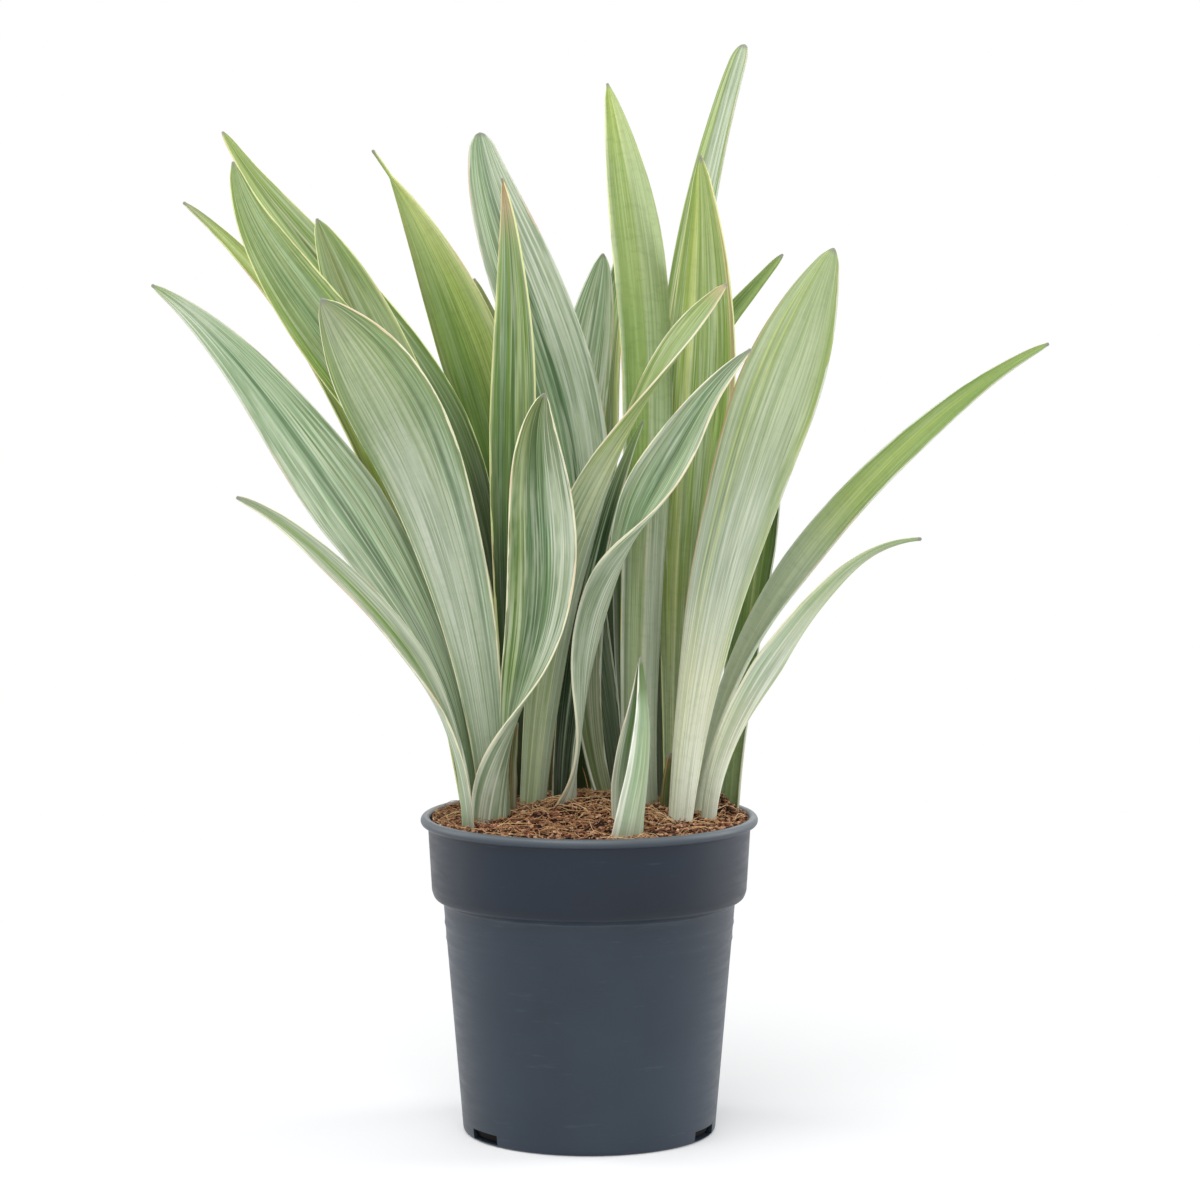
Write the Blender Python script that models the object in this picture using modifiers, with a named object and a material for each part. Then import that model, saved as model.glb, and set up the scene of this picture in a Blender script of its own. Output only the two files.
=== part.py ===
"""Potted snake plant: striped leaves in potting soil, in a round nursery pot.

Metres, +Z up. The origin is the middle of the pot's flat underside, and -Y is the front.
"""

from collections import namedtuple
from math import cos, radians, sin

import bpy
import numpy as np

MM = 0.001

# Pot, in metres: a thin moulded wall with a deep collar and a rolled rim
POT_HEIGHT = 0.161
RIM_RADIUS = 0.085
RIM_DEPTH = 0.005
RIM_HOLLOW = 0.0006
COLLAR_TOP_RADIUS = 0.0813
COLLAR_FOOT_RADIUS = 0.0794
COLLAR_FOOT_HEIGHT = 0.123
SHOULDER_ROUND = 0.0012
SHOULDER_DROP = 0.0032
BODY_TOP_RADIUS = 0.0736
BODY_TOP_HEIGHT = 0.117
BODY_FOOT_RADIUS = 0.064
CONTACT_RADIUS = 0.0618
CORNER_HEIGHT = 0.002
POT_WALL = 0.0015
POT_FLOOR = 0.0019
FLOOR_CHAMFER = 0.001
POT_STEPS = 60

# Drain slots through the corner of wall and floor
SLOT_BEARINGS = (-55, 65, 185)
SLOT_WIDTH = 0.021
SLOT_HEIGHT = 0.005
SLOT_SILL = 0.0012
SLOT_DEPTH = 0.012

# Potting soil, heaped a little towards the middle
SOIL_EDGE_HEIGHT = 0.16
SOIL_MIDDLE_HEIGHT = 0.171
SOIL_RINGS = 8
HOLE_FLOOR_HEIGHT = 0.1447
HOLE_MARGIN = 0.0013
HOLE_DEPTH = 0.04
HOLE_SIDES = 16
BURIED_SHARE = 0.2
GAP = 0.0003

# Leaf sections, in millimetres, and the share of a leaf's length that stands upright at its foot
FOOT_THICKNESS = 3.4
BLADE_THICKNESS = 2.2
TIP_THICKNESS = 1.3
MARGIN_THICKNESS = 0.9
AWL_WIDTH = 1.8
ROUND_SHARE = 0.025
UPRIGHT_SHARE = 0.07
STATIONS = 16
STATION_POWER = 1.35
ACROSS = 5

# Each leaf, in millimetres and degrees. Its route is its midrib at even steps from the foot to
# the tip. It is widest at that share of its length, and a higher taper keeps it broad nearer
# to the tip, which is a blunt end of that width. The facing is the bearing of its inner side,
# from the front towards the right, and the wrap is the arc of its section, both read evenly
# from the foot to the tip. The awl is the share of its length that is only a thin point.
Leaf = namedtuple("Leaf", "name route foot_width width widest taper tip facing wrap awl")

LEFT_SHOOT = [
    Leaf("left_1", [(-46, -23, 145), (-36, -36, 216), (-24, -52, 269), (-24, -68, 324), (-21, -80, 377)],
         28, 35, 0.62, 2.4, 3, (-175, -20, 10), (170, 70, 50), 0),
    Leaf("left_2", [(-61, -30, 145), (-70, -47, 212), (-94, -65, 258), (-128, -88, 299), (-167, -108, 329)],
         11, 17, 0.40, 1.7, 2.5, (120, 60, 40), (130, 100, 80), 0),
    Leaf("left_3", [(-61, -10, 145), (-77, -21, 240), (-116, -34, 312), (-160, -41, 376), (-213, -45, 428)],
         12, 42, 0.52, 1.3, 2.5, (90, 40, 25), (120, 55, 45), 0),
    Leaf("left_4", [(-49, 2, 145), (-54, -20, 232), (-70, -42, 308), (-93, -58, 367), (-129, -70, 422)],
         14, 47, 0.72, 2.8, 4, (0, -18, -10), (130, 45, 35), 0),
    Leaf("left_5", [(-47, 13, 145), (-62, 7, 253), (-87, -2, 337), (-136, -10, 411), (-175, -20, 488)],
         13, 36, 0.66, 2.1, 3, (10, 25, 30), (130, 50, 40), 0),
    Leaf("left_6", [(-58, 16, 145), (-77, 25, 251), (-105, 38, 333), (-149, 47, 407), (-207, 52, 468)],
         12, 24, 0.45, 1.5, 2.5, (20, 15, 50), (120, 80, 80), 0),
]

MIDDLE_SHOOT = [
    Leaf("middle_1", [(-30, 0, 145), (-20, -8, 238), (-2, -20, 308), (28, -38, 372), (67, -55, 429)],
         14, 39, 0.64, 1.8, 2.5, (180, 230, 310), (120, 80, 80), 0),
    Leaf("middle_2", [(-19, -9, 145), (-4, -20, 212), (7, -34, 268), (27, -50, 316), (48, -64, 357), (78, -75, 398)],
         14, 35, 0.60, 1.5, 2.5, (120, 266, 238, 290, 325, 345), (100, 45, 150, 135, 95, 50), 0),
    Leaf("middle_3", [(-34, 15, 145), (-37, 9, 246), (-36, 3, 325), (-35, -2, 403), (-43, -5, 480)],
         12, 31, 0.60, 2.1, 2.5, (0, -30, -40), (130, 90, 100), 0.01),
    Leaf("middle_4", [(-42, 29, 145), (-54, 30, 242), (-75, 25, 319), (-106, 17, 392), (-136, 8, 460)],
         12, 33, 0.72, 2.5, 3, (0, 20, 30), (130, 45, 40), 0),
    Leaf("middle_5", [(-36, 41, 145), (-53, 47, 260), (-79, 54, 352), (-131, 60, 430), (-188, 66, 504)],
         12, 36, 0.50, 1.6, 4, (0, 20, 45), (130, 60, 80), 0),
    Leaf("middle_6", [(-31, 55, 145), (-34, 66, 248), (-44, 78, 334), (-70, 88, 418), (-113, 97, 495)],
         12, 40, 0.66, 1.7, 2, (0, -25, -30), (130, 55, 60), 0.05),
    Leaf("middle_7", [(-14, 9, 145), (-11, 5, 205), (-3, 2, 258), (9, -3, 310), (27, -9, 360)],
         10, 15, 0.50, 1.6, 2, (-10, -30, -40), (130, 70, 60), 0),
]

FRONT_SHOOT = [
    Leaf("front_1", [(25, -56, 145), (26, -58, 171), (28, -61, 197), (28, -63, 222), (25, -65, 248)],
         44, 43, 0.30, 1.7, 2.5, (-104, -76, -85), (185, 190, 160), 0),
    Leaf("front_2", [(30, -5, 145), (28, 0, 254), (31, 8, 346), (27, 24, 437), (9, 45, 528)],
         22, 34, 0.72, 2.4, 2.5, (-150, -145, -140), (130, 50, 40), 0),
    Leaf("front_3", [(13, 14, 145), (-4, 18, 252), (-7, 21, 339), (-30, 25, 422), (-55, 28, 503)],
         14, 38, 0.62, 2.6, 9, (60, 10, 5), (130, 45, 35), 0),
    Leaf("front_4", [(15, 30, 145), (3, 38, 235), (-8, 45, 304), (-5, 52, 373), (7, 56, 442)],
         12, 31, 0.64, 3.2, 4, (0, 25, 20), (130, 60, 55), 0),
    Leaf("front_5", [(21, 46, 145), (12, 58, 245), (7, 72, 321), (11, 86, 397), (30, 98, 476)],
         11, 30, 0.60, 1.5, 2.5, (-20, -45, -50), (130, 60, 50), 0),
    Leaf("front_6", [(26, 16, 145), (23, 24, 214), (23, 32, 275), (25, 41, 338), (33, 50, 400)],
         11, 24, 0.50, 1.5, 2.5, (-10, -35, -40), (130, 60, 50), 0),
]

RIGHT_SHOOT = [
    Leaf("right_1", [(44, -28, 145), (54, -35, 234), (70, -42, 308), (92, -48, 378), (119, -50, 446)],
         13, 43, 0.72, 2.1, 5, (180, 165, 160), (130, 40, 35), 0),
    Leaf("right_2", [(60, -14, 145), (71, -28, 205), (94, -42, 248), (122, -52, 285), (162, -58, 305)],
         9, 18, 0.45, 1.1, 2, (-150, -150, -120), (130, 80, 80), 0.03),
    Leaf("right_3", [(53, 1, 145), (75, -11, 234), (113, -20, 298), (164, -26, 354), (226, -30, 399)],
         13, 23, 0.45, 1.6, 2.5, (-90, -55, -45), (130, 80, 70), 0),
    Leaf("right_4", [(43, 11, 145), (47, 24, 238), (52, 31, 312), (58, 32, 386), (56, 30, 492)],
         14, 39, 0.70, 2.3, 3.5, (0, -20, -25), (130, 50, 50), 0),
    Leaf("right_5", [(72, 17, 145), (78, 17, 227), (86, 10, 297), (92, 2, 360), (98, -5, 419)],
         13, 32, 0.50, 1.8, 2.5, (-40, -50, -50), (110, 60, 60), 0),
]

BACK_SHOOT = [
    Leaf("back_1", [(36, 25, 145), (37, 46, 261), (42, 62, 358), (56, 74, 455), (80, 84, 549)],
         12, 26, 0.60, 2.6, 10, (0, -45, -45), (130, 50, 50), 0),
    Leaf("back_2", [(42, 41, 145), (44, 62, 240), (51, 84, 335), (64, 96, 392), (101, 102, 441)],
         12, 25, 0.52, 1.6, 4, (0, -45, -45), (130, 70, 70), 0),
    Leaf("back_3", [(-4, 48, 145), (-10, 69, 230), (-22, 91, 297), (-39, 108, 363), (-61, 120, 428)],
         12, 32, 0.55, 1.6, 2.5, (0, 40, 45), (130, 60, 50), 0),
    Leaf("back_4", [(-14, 62, 145), (-20, 90, 215), (-30, 125, 280), (-42, 160, 335), (-52, 190, 380)],
         12, 34, 0.60, 1.7, 2.5, (0, 10, 20), (130, 55, 45), 0),
    Leaf("back_5", [(22, 63, 145), (30, 92, 215), (42, 128, 285), (56, 165, 345), (70, 198, 395)],
         12, 32, 0.60, 1.7, 2.5, (0, -20, -20), (130, 55, 45), 0),
    Leaf("back_6", [(50, 48, 145), (58, 75, 205), (68, 104, 262), (82, 131, 312), (96, 153, 352)],
         11, 26, 0.55, 1.6, 2.5, (-20, -30, -30), (130, 60, 50), 0),
    Leaf("back_7", [(-49, 44, 145), (-56, 72, 205), (-66, 100, 262), (-80, 128, 318), (-96, 152, 365)],
         11, 28, 0.58, 1.7, 2.5, (20, 30, 30), (130, 60, 50), 0),
]

LEAVES = LEFT_SHOOT + MIDDLE_SHOOT + FRONT_SHOOT + RIGHT_SHOOT + BACK_SHOOT


def material(name, colour, roughness):
    """A plain surface of one colour."""
    made = bpy.data.materials.new(name)
    made.use_nodes = True
    surface = made.node_tree.nodes["Principled BSDF"]
    surface.inputs["Base Color"].default_value = (*colour, 1)
    surface.inputs["Roughness"].default_value = roughness
    surface.inputs["Metallic"].default_value = 0
    return made


def new_object(name, mesh, collection):
    """An object of its own in the collection."""
    made = bpy.data.objects.new(name, mesh)
    collection.objects.link(made)
    return made


def new_collection(name, is_cutter):
    """A collection in the scene, kept out of renders where it only holds cutters."""
    made = bpy.data.collections.new(name)
    bpy.context.scene.collection.children.link(made)
    made.hide_render = is_cutter
    return made


def turned(name, profile, collection):
    """A solid turned round the Z axis from a profile that runs down its outer side."""
    mesh = bpy.data.meshes.new(name)
    points = [(radius, 0, height) for radius, height in profile]
    mesh.from_pydata(points, [(i, i + 1) for i in range(len(points) - 1)], [])
    made = new_object(name, mesh, collection)
    screw = made.modifiers.new("Turn", "SCREW")
    screw.steps = POT_STEPS
    screw.render_steps = POT_STEPS
    screw.use_merge_vertices = True
    screw.merge_threshold = 0.00001
    return made


def add_cutter(name, cutters):
    """Names the primitive just added and moves it to the cutters, shown as a wire."""
    cutter = bpy.context.object
    cutter.name = name
    cutter.hide_render = True
    cutter.display_type = "WIRE"
    cutter.users_collection[0].objects.unlink(cutter)
    cutters.objects.link(cutter)
    return cutter


def cut(target, cutters, name):
    """Takes every object of a collection out of the target."""
    boolean = target.modifiers.new(name, "BOOLEAN")
    boolean.operation = "DIFFERENCE"
    boolean.operand_type = "COLLECTION"
    boolean.collection = cutters
    boolean.solver = "EXACT"


def arc(middle, radius, start, end, count):
    """Points along an arc, with its angles in degrees from +X towards +Z."""
    turns = np.radians(np.linspace(start, end, count))
    return [(middle[0] + radius * np.cos(a), middle[1] + radius * np.sin(a)) for a in turns]


def pot_outside():
    """The pot's outer side, from the inner edge of the rim down to the edge of the underside."""
    lip = RIM_DEPTH / 2
    rim = arc((RIM_RADIUS - lip, POT_HEIGHT - lip), lip, 90, -70, 7)
    collar = [
        (COLLAR_TOP_RADIUS, POT_HEIGHT - RIM_DEPTH),
        (COLLAR_FOOT_RADIUS, COLLAR_FOOT_HEIGHT),
        (COLLAR_FOOT_RADIUS - SHOULDER_ROUND, COLLAR_FOOT_HEIGHT - SHOULDER_DROP),
        (BODY_TOP_RADIUS, BODY_TOP_HEIGHT),
    ]
    corner = arc((BODY_FOOT_RADIUS - CORNER_HEIGHT, CORNER_HEIGHT), CORNER_HEIGHT, 0, -78, 4)
    return rim + collar + corner + [(CONTACT_RADIUS, 0)]


def pot_inside():
    """The pot's inner side, from the edge of the floor up to the inner edge of the rim."""
    return [
        (BODY_FOOT_RADIUS - POT_WALL - FLOOR_CHAMFER, POT_FLOOR),
        (BODY_FOOT_RADIUS - POT_WALL, POT_FLOOR + 3 * FLOOR_CHAMFER),
        (BODY_TOP_RADIUS - POT_WALL, BODY_TOP_HEIGHT),
        (COLLAR_FOOT_RADIUS - POT_WALL, COLLAR_FOOT_HEIGHT - FLOOR_CHAMFER),
        (COLLAR_TOP_RADIUS - POT_WALL, POT_HEIGHT - RIM_DEPTH),
        (COLLAR_TOP_RADIUS - POT_WALL + RIM_HOLLOW, POT_HEIGHT - POT_WALL),
    ]


def make_pot(collection, cutters):
    """A turned pot, with the drain slots cut through its lower corner."""
    profile = [(0, POT_FLOOR)] + pot_inside() + pot_outside() + [(0, 0)]
    pot = turned("pot", profile, collection)
    for bearing in SLOT_BEARINGS:
        bpy.ops.mesh.primitive_cube_add(size=1)
        slot = add_cutter(f"slot_{bearing}", cutters)
        slot.scale = (SLOT_WIDTH, SLOT_DEPTH, SLOT_HEIGHT)
        slot.rotation_euler = (0, 0, radians(bearing))
        slot.location = (
            BODY_FOOT_RADIUS * sin(radians(bearing)),
            -BODY_FOOT_RADIUS * cos(radians(bearing)),
            SLOT_SILL + SLOT_HEIGHT / 2,
        )
    cut(pot, cutters, "Drain slots")
    pot.data.materials.append(material("moulded plastic", (0.045, 0.056, 0.075), 0.45))


def soil_height(radius):
    """Height of the soil's surface, in metres."""
    share = min(radius / (COLLAR_TOP_RADIUS - POT_WALL), 1)
    fall = share * share * (3 - 2 * share)
    return SOIL_MIDDLE_HEIGHT + (SOIL_EDGE_HEIGHT - SOIL_MIDDLE_HEIGHT) * fall


def make_soil(collection, holes):
    """The soil that fills the pot, with a plain hole for the foot of each leaf."""
    floor_edge, corner, body_top, collar_foot, collar_top, _ = [
        (radius - GAP, height) for radius, height in pot_inside()
    ]
    surface = [(r, soil_height(r)) for r in np.linspace(0, collar_top[0], SOIL_RINGS)]
    wall = [collar_foot, body_top, (corner[0], corner[1] + GAP)]
    floor = [(floor_edge[0], POT_FLOOR + GAP), (0, POT_FLOOR + GAP)]
    soil = turned("soil", surface + wall + floor, collection)
    for leaf in LEAVES:
        make_hole(leaf, holes)
    cut(soil, holes, "Leaf holes")
    soil.data.materials.append(material("potting soil", (0.10, 0.055, 0.03), 0.95))


def through(values, share):
    """Values spread evenly along a length, read at a share of it on one smooth curve."""
    values = np.asarray(values, float)
    knots = np.linspace(0, 1, len(values))
    terms = np.linalg.solve(np.vander(knots), values)
    return np.vander(np.atleast_1d(share), len(values)) @ terms


def leaf_width(leaf, share):
    """Width along the leaf, which grows to the widest place and tapers to a rounded tip."""
    rise = np.clip(share / leaf.widest, 0, 1)
    grow = (rise + rise * rise * (3 - 2 * rise)) / 2
    fall = np.clip((share - leaf.widest) / (1 - leaf.awl - leaf.widest), 0, 1) ** leaf.taper
    lower = leaf.foot_width + (leaf.width - leaf.foot_width) * grow
    upper = leaf.tip + (leaf.width - leaf.tip) * (1 - fall)
    end = np.clip((1 - share) / ROUND_SHARE, 0, 1)
    rounded = upper * np.sqrt(1 - (1 - end) ** 2)
    return np.where(share < leaf.widest, lower, np.maximum(rounded, AWL_WIDTH))


def leaf_thickness(share):
    """Thickness at the midrib, from the fleshy foot to the tip."""
    foot = (FOOT_THICKNESS - BLADE_THICKNESS) * np.exp(-6 * share)
    return BLADE_THICKNESS + foot - (BLADE_THICKNESS - TIP_THICKNESS) * share**3


def unit(vectors):
    """Each vector brought to length one."""
    return vectors / np.linalg.norm(vectors, axis=1, keepdims=True)


def leaf_frame(leaf, share):
    """Midrib, side and inner directions at each share, with the foot cut level."""
    midrib = through(leaf.route, share)
    step = 1e-4
    along = unit(through(leaf.route, share + step) - through(leaf.route, share - step))
    upright = np.clip(1 - share / UPRIGHT_SHARE, 0, 1)[:, None]
    along = unit(along * (1 - upright) + np.array([0, 0, 1]) * upright)
    facing = np.radians(through(leaf.facing, share))
    inward = np.stack([np.sin(facing), -np.cos(facing), 0 * facing], axis=1)
    side = unit(np.cross(along, inward))
    return midrib, side, np.cross(side, along)


def leaf_surface(leaf, share, place, face):
    """Points of one face in millimetres, where place runs from -1 to 1 across the blade.

    The section is an arc that curls towards the inner side, and face is 1 for the
    outer side and -1 for the inner side.
    """
    midrib, side, inward = leaf_frame(leaf, share)
    wrap = np.radians(through(leaf.wrap, share))
    radius = (leaf_width(leaf, share) / wrap)[:, None]
    swell = (leaf_thickness(share)[:, None] - MARGIN_THICKNESS) * (1 - place**2)
    turn = wrap[:, None] / 2 * place
    reach = radius + face * (MARGIN_THICKNESS + swell) / 2
    across = reach * np.sin(turn)
    depth = radius - reach * np.cos(turn)
    return midrib[:, None] + across[:, :, None] * side[:, None] + depth[:, :, None] * inward[:, None]


def leaf_faces():
    """Triangles of a leaf: its rings hold an outer and an inner row, split alike on both faces."""
    ring = 2 * ACROSS
    faces = []
    for i in range(STATIONS - 1):
        low = i * ring
        high = low + ring
        for j in range(ACROSS - 1):
            k = j + ACROSS
            faces.append((low + j, high + j + 1, low + j + 1))
            faces.append((low + j, high + j, high + j + 1))
            faces.append((low + k, low + k + 1, high + k + 1))
            faces.append((low + k, high + k + 1, high + k))
        for j, k in ((ACROSS, 0), (ACROSS - 1, ring - 1)):
            faces.append((low + j, high + k, low + k))
            faces.append((low + j, high + j, high + k))
    top = (STATIONS - 1) * ring
    for j in range(ACROSS - 1):
        k = j + ACROSS
        faces.append((j, k + 1, k))
        faces.append((j, j + 1, k + 1))
        faces.append((top + j, top + k, top + k + 1))
        faces.append((top + j, top + k + 1, top + j + 1))
    return faces


def make_leaf(leaf, collection, surface):
    """A closed loft along the leaf's route."""
    share = 1 - (1 - np.linspace(0, 1, STATIONS)) ** STATION_POWER
    place = np.linspace(-1, 1, ACROSS)[None, :]
    rows = [leaf_surface(leaf, share, place, face) for face in (1, -1)]
    points = np.concatenate(rows, axis=1).reshape(-1, 3) * MM
    mesh = bpy.data.meshes.new(f"leaf_{leaf.name}")
    mesh.from_pydata(points.tolist(), [], leaf_faces())
    mesh.shade_smooth()
    mesh.set_sharp_from_angle(angle=radians(50))
    mesh.materials.append(surface)
    new_object(f"leaf_{leaf.name}", mesh, collection)


def make_hole(leaf, holes):
    """An upright round hole that clears the buried foot of one leaf."""
    share = np.linspace(0, BURIED_SHARE, 9)
    place = np.linspace(-1, 1, ACROSS)[None, :]
    rows = [leaf_surface(leaf, share, place, face) for face in (1, -1)]
    points = np.concatenate(rows, axis=1) * MM
    buried = points[points[:, :, 2] < SOIL_MIDDLE_HEIGHT]
    middle = (buried.min(axis=0) + buried.max(axis=0)) / 2
    radius = np.linalg.norm((buried - middle)[:, :2], axis=1).max() + HOLE_MARGIN
    bpy.ops.mesh.primitive_cylinder_add(vertices=HOLE_SIDES, radius=radius, depth=HOLE_DEPTH)
    hole = add_cutter(f"hole_{leaf.name}", holes)
    hole.location = (middle[0], middle[1], HOLE_FLOOR_HEIGHT + HOLE_DEPTH / 2)


def main():
    for old in list(bpy.data.objects):
        bpy.data.objects.remove(old)
    plant = new_collection("potted snake plant", False)
    make_pot(plant, new_collection("slot cutters", True))
    make_soil(plant, new_collection("hole cutters", True))
    blade = material("leaf blade", (0.36, 0.45, 0.28), 0.4)
    for leaf in LEAVES:
        make_leaf(leaf, plant, blade)


main()
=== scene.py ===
"""Looks of a potted snake plant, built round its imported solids.

Metres, +Z up, and -Y is the front. Sizes of pieces are in millimetres until MM makes them metres.
The floor, the lights and the camera are in metres.
"""

from collections import namedtuple
from math import atan2, pi, radians

import bpy
import numpy as np
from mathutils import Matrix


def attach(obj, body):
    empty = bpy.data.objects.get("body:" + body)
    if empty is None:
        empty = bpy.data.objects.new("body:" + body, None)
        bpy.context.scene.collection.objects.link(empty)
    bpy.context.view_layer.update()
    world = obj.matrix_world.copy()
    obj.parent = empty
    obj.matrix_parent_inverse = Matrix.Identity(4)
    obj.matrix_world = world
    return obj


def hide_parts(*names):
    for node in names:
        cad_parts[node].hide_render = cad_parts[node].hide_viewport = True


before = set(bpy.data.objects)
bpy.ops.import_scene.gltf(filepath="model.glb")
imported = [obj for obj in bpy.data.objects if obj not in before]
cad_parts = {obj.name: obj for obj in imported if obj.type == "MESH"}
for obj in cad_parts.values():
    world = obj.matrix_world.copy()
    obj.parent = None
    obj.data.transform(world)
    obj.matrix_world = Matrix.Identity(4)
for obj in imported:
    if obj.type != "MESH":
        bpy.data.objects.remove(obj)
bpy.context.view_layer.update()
MM = 0.001


# Pot
# A nursery pot, injection moulded in polypropylene: a rolled rim over a deep collar, a shoulder that
# keeps stacked pots apart, and a tapered body with three drain slots in the corner of its foot.
POT_HEIGHT = 161.0
RIM_RADIUS = 85.0
RIM_DEPTH = 5.0
RIM_POINTS = 22
COLLAR_TOP_RADIUS = 81.3
COLLAR_FOOT_RADIUS = 79.4
COLLAR_FOOT_HEIGHT = 123.0
BODY_TOP_RADIUS = 73.6
BODY_TOP_HEIGHT = 117.0
BODY_FOOT_RADIUS = 64.0
CONTACT_RADIUS = 61.8
FOOT_CORNER = 2.0
BASE_RISE = 0.8
POT_WALL = 1.5
POT_FLOOR = 1.9
POT_COLUMNS = 192
ROUND_POINTS = 6
RING_HEIGHTS = (106.5, 99.0)
RING_SWELL = 0.35
RING_SPREAD = 1.1
SLOT_BEARINGS = (-55, 65, 185)
SLOT_SIZE = (21.0, 12.0, 5.0)
SLOT_SILL = 1.2
SHARP_ANGLE = 50


def linear(code):
    """An sRGB hex colour as linear light: x / 12.92, or ((x + 0.055) / 1.055) to the power 2.4."""
    parts = np.array([int(code[i:i + 2], 16) for i in (1, 3, 5)]) / 255
    light = np.where(parts <= 0.04045, parts / 12.92, ((parts + 0.055) / 1.055) ** 2.4)
    return (*light.tolist(), 1)


def new_material(name):
    """A material with an empty node tree."""
    made = bpy.data.materials.new(name)
    made.use_nodes = True
    made.node_tree.nodes.clear()
    return made


def add(tree, kind, inputs, stops=(), **settings):
    """Adds a shader node. Inputs are by name or number, and are a value or another node's output."""
    node = tree.nodes.new("ShaderNode" + kind)
    for name, value in settings.items():
        setattr(node, name, value)
    for socket, value in inputs.items():
        if isinstance(value, bpy.types.NodeSocket):
            tree.links.new(value, node.inputs[socket])
        else:
            node.inputs[socket].default_value = value
    for number, (place, colour) in enumerate(stops):
        points = node.color_ramp.elements
        point = points[number] if number < 2 else points.new(place)
        point.position = place
        point.color = colour
    return node


def ramp(tree, value, stops):
    """Colours over a value. Stops give a place and an sRGB code, or a number for a plain grey."""
    return add(tree, "ValToRGB", {0: value}, stops=[
        (place, linear(colour) if isinstance(colour, str) else (colour, colour, colour, 1))
        for place, colour in stops]).outputs[0]


def mix(tree, share, under, over, blend="MIX"):
    """The colour under, brought by a share towards the colour over, or towards their blend."""
    return add(tree, "Mix", {0: share, 6: under, 7: over},
               data_type="RGBA", blend_type=blend).outputs[2]


def rescale(tree, value, start, end, low, high):
    """A value's run from start to end made a run from low to high, and held beyond both."""
    return add(tree, "MapRange", {0: value, 1: start, 2: end, 3: low, 4: high}).outputs[0]


def reckon(tree, operation, *values):
    """One number worked out from others."""
    return add(tree, "Math", dict(enumerate(values)), operation=operation).outputs[0]


def stretched(tree, place, scale, detail, roughness, location=(0, 0, 0), **settings):
    """Noise with a scale of its own along each axis."""
    at = add(tree, "Mapping", {"Vector": place, "Location": location, "Scale": scale})
    return add(tree, "TexNoise", {"Vector": at.outputs[0], "Scale": 1.0, "Detail": detail,
                                  "Roughness": roughness}, **settings)


def finished(made, sockets):
    """The material with a principled surface on its output."""
    surface = add(made.node_tree, "BsdfPrincipled", sockets)
    add(made.node_tree, "OutputMaterial", {0: surface.outputs[0]})
    return made


def linked(name, data):
    """A new object with that data, in the scene."""
    made = bpy.data.objects.new(name, data)
    bpy.context.scene.collection.objects.link(made)
    return made


def place_skin(name, grid, poles, material, uv=None):
    """Closes rings of points into a skin, with a pole at either end.

    grid[r, c] is the point c round ring r. Each quad joins (r, c), (r, c + 1), (r + 1, c + 1) and
    (r + 1, c), with c taken round the ring, and each end ring fans out to its pole. uv[r, c] has
    one column more than the grid, for the seam, and a pole's uv lies half a column on.
    """
    rows, columns = grid.shape[:2]
    r, c = np.meshgrid(np.arange(rows - 1), np.arange(columns), indexing="ij")

    def quad_corners(width, right):
        """The four corners of each quad in a grid of that width, whose next column is right."""
        return np.stack([r * width + c, r * width + right, (r + 1) * width + right,
                         (r + 1) * width + c], axis=-1).reshape(-1, 4)

    quads = quad_corners(columns, (c + 1) % columns)
    first = np.arange(columns)
    after = (first + 1) % columns
    start = rows * columns
    last = start - columns
    low_fan = np.stack([after, first, np.full(columns, start)], axis=-1)
    high_fan = np.stack([last + first, last + after, np.full(columns, start + 1)], axis=-1)
    points = np.concatenate([grid.reshape(-1, 3), np.array(poles)]) * MM
    mesh = bpy.data.meshes.new(name)
    mesh.from_pydata(points.tolist(), [], quads.tolist() + low_fan.tolist() + high_fan.tolist())
    if uv is not None:
        corners = quad_corners(columns + 1, c + 1).ravel()
        flat = uv.reshape(-1, 2)
        top = (rows - 1) * (columns + 1)
        low_pole = np.stack([(first + 0.5) / columns, np.zeros(columns)], axis=-1)
        high_pole = np.stack([(first + 0.5) / columns, np.ones(columns)], axis=-1)
        low_uv = np.stack([flat[first + 1], flat[first], low_pole], axis=1)
        high_uv = np.stack([flat[top + first], flat[top + first + 1], high_pole], axis=1)
        every = np.concatenate([flat[corners], low_uv.reshape(-1, 2), high_uv.reshape(-1, 2)])
        layer = mesh.uv_layers.new(name="round_and_along")
        layer.data.foreach_set("uv", every.astype(np.float32).ravel())
    mesh.shade_smooth()
    mesh.materials.append(material)
    piece = linked(name, mesh)
    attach(piece, "root")
    return piece


def eased(corners, spacing):
    """A profile through (radius, height, rounding) corners, each corner cut by a round of that size.

    A corner becomes the curve (1 - t)^2 a + 2 t (1 - t) corner + t^2 b between the points a and b
    that lie its rounding away on both sides, and straight runs are split every spacing.
    """
    corners = np.array(corners, float)
    points = [corners[0, :2]]
    for before, corner, after in zip(corners, corners[1:], corners[2:]):
        at = corner[:2]
        back, on = before[:2] - at, after[:2] - at
        a = at + back / np.linalg.norm(back) * min(corner[2], np.linalg.norm(back) / 2)
        b = at + on / np.linalg.norm(on) * min(corner[2], np.linalg.norm(on) / 2)
        t = np.linspace(0, 1, ROUND_POINTS)[:, None]
        points.extend((1 - t) ** 2 * a + 2 * t * (1 - t) * at + t ** 2 * b)
    points.append(corners[-1, :2])
    points = np.array(points)
    steps = np.linalg.norm(np.diff(points, axis=0), axis=1)
    keep = np.concatenate([[True], steps > 1e-6])
    points, steps = points[keep], steps[keep[1:]]
    far = np.concatenate([[0], np.cumsum(steps)])
    between = [np.linspace(a, b, max(int((b - a) / spacing), 1), endpoint=False)
               for a, b in zip(far, far[1:])]
    at = np.concatenate(between + [far[-1:]])
    return np.stack([np.interp(at, far, points[:, i]) for i in (0, 1)], axis=-1)


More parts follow.
